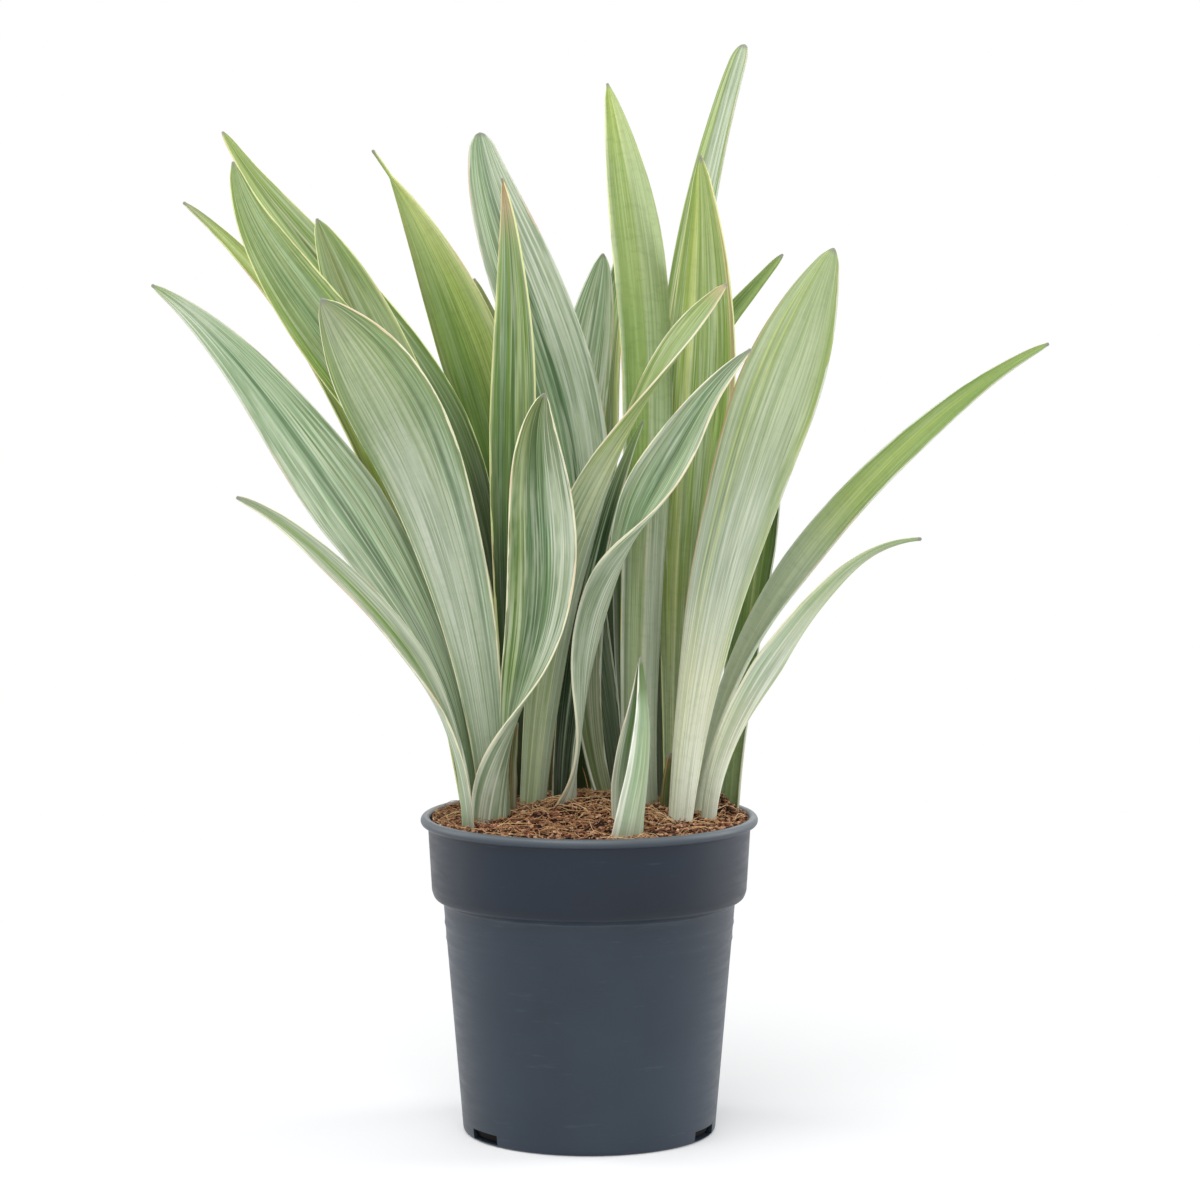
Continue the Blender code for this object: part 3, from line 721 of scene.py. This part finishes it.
# Left shoot
# Six leaves from one rosette at the left edge: two broad ones that lean out over the rim, narrow
# ones behind them, and a short one in front that turns over as it rises.
grow(Leaf("left_1",
          [(-46, -23, 145), (-36, -36, 216), (-24, -52, 269), (-24, -68, 324), (-21, -80, 377)],
          28, 35, 0.62, 2.4, 3, (-175, -20, 10), (170, 70, 50)),
     Coat("0 frost 14 silver 24 mint 34 silver 46 mint 58 silver 72 mint 84 mint 100 frost",
          "0 olive 8 leaf 20 fern 28 sage 32 pine 37 jade 43 pine 50 jade 55 pine 60 mint 67 mist "
          "75 frost 84 silver 92 mist 100 frost",
          "0 white 0.7 20 frost 0.5 34 sage 0.4 45 silver 0.35 58 sage 0.3 67 sage 0 88 olive 0.35 "
          "100 olive 0.6",
          "cream", (0.5, 0.9), 0.8, 0.4))
grow(Leaf("left_2",
          [(-61, -30, 145), (-70, -47, 212), (-94, -65, 258), (-128, -88, 299), (-167, -108, 329)],
          11, 17, 0.40, 1.7, 2.5, (120, 60, 40), (130, 100, 80)),
     Coat("", "0 stone 8 frost 16 mist 30 sage 44 leaf 58 sage 74 silver 88 frost 100 silver",
          "0 frost 0.6 35 frost 0.2 60 sage 0 85 sage 0.3 100 stone 0.8", "cream", (0.5, 0.3), 0.4, 0.3))
grow(Leaf("left_3",
          [(-61, -10, 145), (-77, -21, 240), (-116, -34, 312), (-160, -41, 376), (-213, -45, 428)],
          12, 42, 0.52, 1.3, 2.5, (90, 40, 25), (120, 55, 45)),
     Coat("", "0 silver 6 frost 12 silver 18 mint 26 frost 34 mint 41 jade 47 pine 52 jade 58 mint "
          "66 sage 74 mint 82 sage 90 mint 95 sage 100 frost",
          "0 mist 0.3 40 mist 0.2 65 mint 0.3 82 mint 0.5 94 frost 0.6 100 fern 0.6",
          "frost", (0.6, 0.4), 0.6, 0.5))
grow(Leaf("left_4", [(-49, 2, 145), (-54, -20, 232), (-70, -42, 308), (-93, -58, 367), (-129, -70, 422)],
          14, 47, 0.72, 2.8, 4, (0, -18, -10), (130, 45, 35)),
     Coat("", "0 leaf 6 sage 22 mist 36 silver 44 mist 50 frost 56 sage 61 silver 67 sage "
          "72 mint 77 pine 82 mint 87 jade 91 mint 95 leaf 100 sage",
          "0 mist 0.6 25 mist 0.5 48 mist 0.5 60 silver 0.3 74 sage 0.6 90 fern 0.5 100 olive 0.5",
          "cream", (0.35, 0.8), 0.45, 0.5, 0.16))
# left_5 and left_6 stand behind: the deep tint along their feet is painted shade
grow(Leaf("left_5", [(-47, 13, 145), (-62, 7, 253), (-87, -2, 337), (-136, -10, 411), (-175, -20, 488)],
          13, 36, 0.66, 2.1, 3, (10, 25, 30), (130, 50, 40)),
     Coat("", "0 lime 10 leaf 30 sage 45 jade 60 sage 75 mint 86 fern 94 leaf 100 lemon",
          "0 deep 0.9 30 deep 0.8 48 deep 0.6 62 moss 0.4 70 leaf 0.3 84 fern 0.4 100 fern 0.6",
          "lemon", (0.3, 0.7), 0.5, 0.4, 0.3))
grow(Leaf("left_6", [(-58, 16, 145), (-77, 25, 251), (-105, 38, 333), (-149, 47, 407), (-207, 52, 468)],
          12, 24, 0.45, 1.5, 2.5, (20, 15, 50), (120, 80, 80)),
     Coat("", "0 olive 25 lime 45 lemon 60 lime 100 olive",
          "0 deep 0.8 40 moss 0.4 55 leaf 0 75 lime 0.5 93 fern 0.6 100 grey 0.7",
          "lemon", (0.4, 0.4), 0.2, 0.3))

# Middle shoot
# Seven leaves left of the pot's middle: two twist right over towards the right, one stands in their
# shade, and the others rise behind one another and lean out to the left.
grow(Leaf("middle_1", [(-30, 0, 145), (-20, -8, 238), (-2, -20, 308), (28, -38, 372), (67, -55, 429)],
          14, 39, 0.64, 1.8, 2.5, (180, 230, 310), (120, 80, 80)),
     Coat("0 cream 5 lime 22 fern 36 lemon 48 fern 58 lemon 68 mist 84 frost 100 cream",
          "0 rose 5 fern 15 leaf 22 lemon 27 fern 40 leaf 48 lime 52 fern 64 sage 74 mint 84 fern "
          "92 lime 100 rose",
          "0 silver 0.6 20 silver 0.55 34 mist 0.55 48 mist 0.65 60 frost 0.5 70 fern 0.3 "
          "94 fern 0.4 100 rose 0.8",
          "cream", (0.6, 0.5), 0.45, 0.5))
grow(Leaf("middle_2",
          [(-19, -9, 145), (-4, -20, 212), (7, -34, 268), (27, -50, 316), (48, -64, 357),
           (78, -75, 398)],
          14, 35, 0.60, 1.5, 2.5, (120, 266, 238, 290, 325, 345), (100, 45, 150, 135, 95, 50)),
     Coat("0 white 10 silver 30 mist 50 silver 70 mist 88 silver 100 white",
          "0 frost 6 silver 14 sage 24 mint 32 jade 40 mint 47 pine 53 sage 62 mint 72 sage 82 mint "
          "92 frost 100 frost",
          "0 white 0.9 22 frost 0.5 40 silver 0.2 60 mint 0.2 90 stone 0.2 100 stone 0.6",
          "cream", (0.4, 0.9), 0.65, 0.4))
# middle_3 to middle_6 stand behind: the deep tint along their feet, and the moss along the lower part of
# middle_6, are painted shade
grow(Leaf("middle_3", [(-34, 15, 145), (-37, 9, 246), (-36, 3, 325), (-35, -2, 403), (-43, -5, 480)],
          12, 31, 0.60, 2.1, 2.5, (0, -30, -40), (130, 90, 100), 0.01),
     Coat("", "0 lemon 5 leaf 20 jade 32 leaf 42 pine 48 fern 58 sage 68 fern 76 leaf 88 jade 100 cream",
          "0 deep 0.9 35 deep 0.75 55 moss 0.5 70 leaf 0.1 88 fern 0.2 95 rose 0.6 100 rust 0.9",
          "lemon", (0.7, 0.5), 0.45, 0.4))
grow(Leaf("middle_4", [(-42, 29, 145), (-54, 30, 242), (-75, 25, 319), (-106, 17, 392), (-136, 8, 460)],
          12, 33, 0.72, 2.5, 3, (0, 20, 30), (130, 45, 40)),
     Coat("", "0 fern 20 sage 42 olive 56 sage 74 fern 88 leaf 100 lemon",
          "0 deep 0.9 40 deep 0.7 55 moss 0.3 66 sage 0.1 100 fern 0.4",
          "lemon", (0.4, 0.5), 0.5, 0.3, 0.2))
grow(Leaf("middle_5", [(-36, 41, 145), (-53, 47, 260), (-79, 54, 352), (-131, 60, 430), (-188, 66, 504)],
          12, 36, 0.50, 1.6, 4, (0, 20, 45), (130, 60, 80)),
     Coat("", "0 lemon 8 leaf 20 fern 30 leaf 42 moss 49 deep 53 lemon 57 moss 66 leaf 82 sage 100 leaf",
          "0 deep 0.9 40 deep 0.7 55 moss 0.4 66 leaf 0 80 fern 0.3 100 lime 0.5",
          "lemon", (0.5, 0.4), 0.4, 0.4))
grow(Leaf("middle_6", [(-31, 55, 145), (-34, 66, 248), (-44, 78, 334), (-70, 88, 418), (-113, 97, 495)],
          12, 40, 0.66, 1.7, 2, (0, -25, -30), (130, 55, 60), 0.05),
     Coat("", "0 olive 14 leaf 36 leaf 58 lime 80 lime 94 lemon 100 lemon",
          "0 deep 0.95 30 deep 0.9 50 moss 0.9 64 moss 0.45 76 leaf 0.3 88 lemon 0.3 96 lime 0.45 "
          "100 grey 0.8",
          "lemon", (0.2, 0.5), 0.3, 0.15, 0.35))
# middle_7 stands in the shade of the others: its deep bands and its deep tint are painted shade
grow(Leaf("middle_7", [(-14, 9, 145), (-11, 5, 205), (-3, 2, 258), (9, -3, 310), (27, -9, 360)],
          10, 15, 0.50, 1.6, 2, (-10, -30, -40), (130, 70, 60)),
     Coat("", "0 frost 6 pine 22 deep 40 pine 47 frost 52 pine 70 deep 92 pine 100 frost",
          "0 deep 0.8 50 deep 0.5 72 pine 0.3 88 sage 0.6 100 leaf 0.9", "frost", (0.3, 0.2), 0.4, 0.3))

# Front shoot
# Six leaves at the front: a short folded one whose edges face the viewer, tall ones behind it, and
# narrow ones in the shade between them.
# The moss and pine across the inner face of front_1 are painted shade
grow(Leaf("front_1", [(25, -56, 145), (26, -58, 171), (28, -61, 197), (28, -63, 222), (25, -65, 248)],
          44, 43, 0.30, 1.7, 2.5, (-104, -76, -85), (185, 190, 160)),
     Coat("0 white 6 white 8 mint 26 sage 40 mint 56 frost 70 mint 84 frost 94 white 100 white",
          "0 cream 5 frost 10 moss 35 pine 60 moss 90 pine 96 white 100 white",
          "0 white 0.5 30 frost 0.4 60 mint 0.1 76 jade 0.3 86 moss 0.7 100 moss 0.95",
          "white", (0.5, 0.8), 0.35, 0.2))
grow(Leaf("front_2", [(30, -5, 145), (28, 0, 254), (31, 8, 346), (27, 24, 437), (9, 45, 528)],
          22, 34, 0.72, 2.4, 2.5, (-150, -145, -140), (130, 50, 40)),
     Coat("0 white 4 white 8 moss 20 leaf 30 fern 40 leaf 45 cream 49 frost 53 silver 66 mist 78 silver "
          "90 mist 100 stone", "",
          "0 stone 0.6 20 stone 0.5 34 stone 0.4 46 leaf 0.6 64 leaf 0.75 76 fern 0.75 88 fern 0.75 "
          "97 lime 0.7 100 lime 0.9", "lemon", (0.4, 0.6), 0.3, 0.2, 0.2))
grow(Leaf("front_3", [(13, 14, 145), (-4, 18, 252), (-7, 21, 339), (-30, 25, 422), (-55, 28, 503)],
          14, 38, 0.62, 2.6, 9, (60, 10, 5), (130, 45, 35)),
     Coat("", "0 frost 6 mist 13 sage 20 mint 28 sage 35 mint 41 jade 47 pine 52 jade 57 mist 64 frost "
          "74 mist 84 frost 93 mist 100 frost",
          "0 olive 0.7 22 olive 0.5 40 pine 0.2 52 mint 0.1 64 jade 0.3 80 frost 0.2 100 mint 0.5",
          "frost", (0.8, 0.8), 0.6, 0.5))
grow(Leaf("front_4", [(15, 30, 145), (3, 38, 235), (-8, 45, 304), (-5, 52, 373), (7, 56, 442)],
          12, 31, 0.64, 3.2, 4, (0, 25, 20), (130, 60, 55)),
     Coat("", "0 sage 8 jade 16 mint 24 sage 32 frost 40 sage 47 frost 55 jade 61 frost 72 mint 80 sage "
          "88 frost 100 lemon",
          "0 deep 0.8 35 pine 0.45 50 mint 0.15 75 frost 0.3 100 mint 0.4",
          "frost", (0.4, 0.8), 0.6, 0.6))
# front_5 and front_6 stand in the shade between the others: the deep tint along their feet and the deep
# band of front_6 are painted shade
grow(Leaf("front_5", [(21, 46, 145), (12, 58, 245), (7, 72, 321), (11, 86, 397), (30, 98, 476)],
          11, 30, 0.60, 1.5, 2.5, (-20, -45, -50), (130, 60, 50)),
     Coat("", "0 white 8 pine 30 moss 55 leaf 78 olive 90 lime 100 lemon",
          "0 deep 0.9 40 deep 0.7 62 moss 0.3 80 leaf 0 100 leaf 0.5", "lemon", (0.4, 0.5), 0.4, 0.3))
grow(Leaf("front_6", [(26, 16, 145), (23, 24, 214), (23, 32, 275), (25, 41, 338), (33, 50, 400)],
          11, 24, 0.50, 1.5, 2.5, (-10, -35, -40), (130, 60, 50)),
     Coat("", "0 white 10 sage 26 moss 50 deep 74 moss 90 sage 100 white",
          "0 deep 0.8 50 deep 0.4 100 moss 0.5", "frost", (0.5, 0.5), 0.4, 0.3))

# Right shoot
# Five leaves at the right edge: one broad and upright, two thrown out over the rim, one tall behind
# them, and one that shows only its edge.
grow(Leaf("right_1", [(44, -28, 145), (54, -35, 234), (70, -42, 308), (92, -48, 378), (119, -50, 446)],
          13, 43, 0.72, 2.1, 5, (180, 165, 160), (130, 40, 35)),
     Coat("0 rust 2 rose 5 silver 12 mist 19 silver 21 lemon 23 sage 29 silver 31 lemon 33 sage 44 mist "
          "56 silver 70 mist 84 silver 95 fern 100 lemon", "",
          "0 white 0.85 25 cream 0.55 45 mist 0.1 62 fern 0.25 80 fern 0.5 100 fern 0.7",
          "frost", (0.3, 0.7), 0.3, 0.5))
grow(Leaf("right_2", [(60, -14, 145), (71, -28, 205), (94, -42, 248), (122, -52, 285), (162, -58, 305)],
          9, 18, 0.45, 1.1, 2, (-150, -150, -120), (130, 80, 80), 0.03),
     Coat("0 cream 10 frost 24 mint 38 frost 58 mist 76 frost 90 fern 100 frost", "",
          "0 white 0.8 30 cream 0.45 45 frost 0.2 70 fern 0.4 100 leaf 0.6",
          "cream", (0.5, 0.4), 0.4, 0.4))
grow(Leaf("right_3", [(53, 1, 145), (75, -11, 234), (113, -20, 298), (164, -26, 354), (226, -30, 399)],
          13, 23, 0.45, 1.6, 2.5, (-90, -55, -45), (130, 80, 70)),
     Coat("", "0 frost 6 leaf 24 fern 45 lime 62 fern 80 leaf 100 sage",
          "0 frost 0.95 30 frost 0.85 46 mist 0.7 60 fern 0.5 85 leaf 0.7 100 leaf 0.6",
          "frost", (0.5, 0.2), 0.2, 0.3, 0.15))
grow(Leaf("right_4", [(43, 11, 145), (47, 24, 238), (52, 31, 312), (58, 32, 386), (56, 30, 492)],
          14, 39, 0.70, 2.3, 3.5, (0, -20, -25), (130, 50, 50)),
     Coat("", "0 fern 8 leaf 22 lime 32 lemon 36 leaf 48 fern 60 sage 70 fern 82 leaf 90 lime "
          "95 rose 100 rust",
          "0 stone 0.6 22 stone 0.55 36 olive 0.4 55 leaf 0.2 72 fern 0.1 90 lime 0.35 100 lime 0.6",
          "lemon", (0.3, 0.5), 0.35, 0.4, 0.25))
grow(Leaf("right_5", [(72, 17, 145), (78, 17, 227), (86, 10, 297), (92, 2, 360), (98, -5, 419)],
          13, 32, 0.50, 1.8, 2.5, (-40, -50, -50), (110, 60, 60)),
     Coat("", "0 frost 10 moss 34 leaf 46 fern 50 lemon 55 fern 75 leaf 92 moss 100 moss",
          "0 sage 0.8 22 sage 0.6 36 moss 0.5 55 moss 0.3 100 leaf 0.4",
          "frost", (0.6, 0.3), 0.3, 0.2, 0.3))

# Back shoots
# Seven leaves that stand behind: three show between the others from the front, and four only fill
# the plant out when it is seen from the sides or the back.
# back_1 to back_3 show between the others: the deep tint along their feet is painted shade
grow(Leaf("back_1", [(36, 25, 145), (37, 46, 261), (42, 62, 358), (56, 74, 455), (80, 84, 549)],
          12, 26, 0.60, 2.6, 10, (0, -45, -45), (130, 50, 50)),
     Coat("", "0 lime 10 leaf 18 lemon 24 leaf 34 silver 48 mist 60 silver 72 mist 84 silver "
          "92 fern 100 leaf",
          "0 deep 0.7 45 sage 0.4 65 sage 0.2 100 sage 0.3", "mist", (0.3, 0.4), 0.5, 0.3))
grow(Leaf("back_2", [(42, 41, 145), (44, 62, 240), (51, 84, 335), (64, 96, 392), (101, 102, 441)],
          12, 25, 0.52, 1.6, 4, (0, -45, -45), (130, 70, 70)),
     Coat("", "0 leaf 40 moss 60 leaf 100 fern",
          "0 deep 0.6 60 moss 0.3 85 leaf 0.3 100 fern 0.6", "leaf", (0.3, 0.3), 0.3, 0.2, 0.4))
grow(Leaf("back_3", [(-4, 48, 145), (-10, 69, 230), (-22, 91, 297), (-39, 108, 363), (-61, 120, 428)],
          12, 32, 0.55, 1.6, 2.5, (0, 40, 45), (130, 60, 50)),
     Coat("", "0 lime 30 olive 60 moss 100 olive",
          "0 deep 0.8 60 moss 0.4 100 olive 0.5", "olive", (0.3, 0.3), 0.3, 0.2))
grow(Leaf("back_4", [(-14, 62, 145), (-20, 90, 215), (-30, 125, 280), (-42, 160, 335), (-52, 190, 380)],
          12, 34, 0.60, 1.7, 2.5, (0, 10, 20), (130, 55, 45)),
     Coat("0 cream 8 jade 20 mint 32 pine 44 jade 54 frost 64 jade 78 silver 90 sage 100 cream",
          "0 lime 50 fern 100 lime", "0 moss 0.5 50 sage 0 100 lime 0.4", "cream", (0.6, 0.7), 0.8))
grow(Leaf("back_5", [(22, 63, 145), (30, 92, 215), (42, 128, 285), (56, 165, 345), (70, 198, 395)],
          12, 32, 0.60, 1.7, 2.5, (0, -20, -20), (130, 55, 45)),
     Coat("0 lemon 10 leaf 26 jade 36 mint 46 pine 56 jade 68 silver 82 leaf 92 lime 100 lemon",
          "0 lime 50 leaf 100 lime", "0 moss 0.5 50 sage 0 100 lime 0.5",
          "lemon", (0.6, 0.5), 0.6, 0.4, 0.25))
grow(Leaf("back_6", [(50, 48, 145), (58, 75, 205), (68, 104, 262), (82, 131, 312), (96, 153, 352)],
          11, 26, 0.55, 1.6, 2.5, (-20, -30, -30), (130, 60, 50)),
     Coat("0 silver 20 jade 40 frost 60 jade 80 silver 100 frost",
          "0 sage 50 leaf 100 sage", "0 moss 0.4 50 sage 0 100 leaf 0.4", "cream", (0.5, 0.6), 0.7))
grow(Leaf("back_7", [(-49, 44, 145), (-56, 72, 205), (-66, 100, 262), (-80, 128, 318), (-96, 152, 365)],
          11, 28, 0.58, 1.7, 2.5, (20, 30, 30), (130, 60, 50)),
     Coat("0 cream 12 sage 28 jade 44 silver 56 pine 70 jade 86 silver 100 cream",
          "0 sage 50 leaf 100 sage", "0 moss 0.4 50 sage 0 100 lime 0.4", "cream", (0.6, 0.6), 0.7))

# Dry sheaths
# What is left of three old leaves, cut down and withered: papery stubs about a mm thick, brown and
# torn off at the top, that stand in the soil between the feet of the shoots.
SHEATH_FOOT = 150
SHEATH_THINNESS = 0.3
# The deep tint at the foot of the sheaths is painted shade
WITHERED = Coat("", "0 olive 14 bark 30 stone 44 bark 58 olive 74 bark 88 rust 100 olive",
                "0 deep 0.6 25 bark 0.2 75 olive 0.3 100 rust 0.7", "bark", (0.5, 0.5), 0.9, 0.3, 0.5)
for name, x, y, height, width, facing in (
        ("sheath_1", -21, 33, 205, 14, 0), ("sheath_2", 40, -8, 193, 8, -150),
        ("sheath_3", -38, -8, 209, 5, 180)):
    middle = (x - 0.5, y - 0.5, (SHEATH_FOOT + height) / 2)
    grow(Leaf(name, [(x, y, SHEATH_FOOT), middle, (x + 1.5, y + 1, height)],
              width, width, 0.4, 1.5, width * 0.55, (facing, facing), (80, 50)),
         WITHERED, "withered leaf sheath dried", SHEATH_THINNESS)


# Floor
# A matt white studio sweep, painted, which runs out into the white of the room all round.
FLOOR_RADIUS = 12.0
FLOOR_SIDES = 96
FADE_START = 0.08
FADE_END = 0.7
floor_mesh = bpy.data.meshes.new("floor")
floor_turn = np.linspace(0, 2 * pi, FLOOR_SIDES, endpoint=False)
floor_rim = np.stack([np.cos(floor_turn), np.sin(floor_turn), 0 * floor_turn], axis=-1) * FLOOR_RADIUS
floor_mesh.from_pydata(floor_rim.tolist(), [], [list(range(FLOOR_SIDES))])
floor = linked("floor", floor_mesh)
paint = new_material("studio paint matt white")
tree = paint.node_tree
away = add(tree, "VectorMath", {0: add(tree, "TexCoord", {}).outputs["Object"]}, operation="LENGTH")
fade = rescale(tree, away.outputs["Value"], FADE_START, FADE_END, 0.2, 1.0)
matt = add(tree, "BsdfPrincipled", {"Base Color": linear("#f4f4f4"), "Roughness": 0.9,
                                    "Specular IOR Level": 0.1})
room = add(tree, "Emission", {"Color": (1, 1, 1, 1), "Strength": 1.0})
joined = add(tree, "MixShader", {0: fade, 1: matt.outputs[0], 2: room.outputs[0]})
add(tree, "OutputMaterial", {0: joined.outputs[0]})
floor_mesh.materials.append(paint)


# Lights
# A white room with five soft boxes: broad ones above, in front and behind, and two tall ones at the
# sides that draw pale bands down the pot. The camera and reflections see the room at full white.
world = bpy.data.worlds.new("white room")
world.use_nodes = True
tree = world.node_tree
tree.nodes.clear()
ray = add(tree, "LightPath", {})
dim = add(tree, "Background", {"Color": linear("#f8faff"), "Strength": 0.48})
bright = add(tree, "Background", {"Color": (1, 1, 1, 1), "Strength": 1.0})
seen = reckon(tree, "MAXIMUM", ray.outputs["Is Camera Ray"], ray.outputs["Is Glossy Ray"])
either = add(tree, "MixShader", {0: seen, 1: dim.outputs[0], 2: bright.outputs[0]})
add(tree, "OutputWorld", {0: either.outputs[0]})
bpy.context.scene.world = world


def soft_box(name, place, target, size, power):
    """An area light of that width and height, turned to face its target."""
    lamp = bpy.data.lights.new(name, "AREA")
    lamp.shape = "RECTANGLE"
    lamp.size, lamp.size_y = size
    lamp.energy = power
    box = linked(name, lamp)
    box.location = place
    toward = np.subtract(target, place)
    box.rotation_euler = (atan2(np.hypot(toward[0], toward[1]), -toward[2]), 0,
                          atan2(toward[1], toward[0]) - pi / 2)


soft_box("top_box", (-0.5, -0.9, 2.2), (0, 0, 0.3), (1.6, 1.6), 30)
soft_box("front_box", (0.3, -2.5, 1.5), (0, 0, 0.2), (1.6, 1.6), 15)
soft_box("left_box", (-1.9, 0.6, 0.9), (0, 0, 0.25), (0.9, 1.8), 15)
soft_box("right_box", (1.9, 0.4, 0.9), (0, 0, 0.25), (1.0, 1.8), 23)
soft_box("back_box", (0.3, 2.2, 1.5), (0, 0, 0.4), (1.8, 1.4), 10)

# Camera
# A long lens at the height of the upper leaves, tipped down a little. Its distance and its tilt are
# fitted to the ellipses of the rim and the foot.
LENS_PIXELS = 4087.0
FRAME_PIXELS = 1200.0
SENSOR_WIDTH = 36.0
CAMERA_PLACE = (0.0054, -2.04, 0.47)
PITCH = 5.615
camera_data = bpy.data.cameras.new("camera")
camera_data.sensor_width = SENSOR_WIDTH
camera_data.lens = SENSOR_WIDTH * LENS_PIXELS / FRAME_PIXELS
camera = linked("camera", camera_data)
camera.location = CAMERA_PLACE
camera.rotation_euler = (radians(90 - PITCH), 0, 0)
bpy.context.scene.camera = camera
bpy.context.scene.view_settings.view_transform = "Standard"
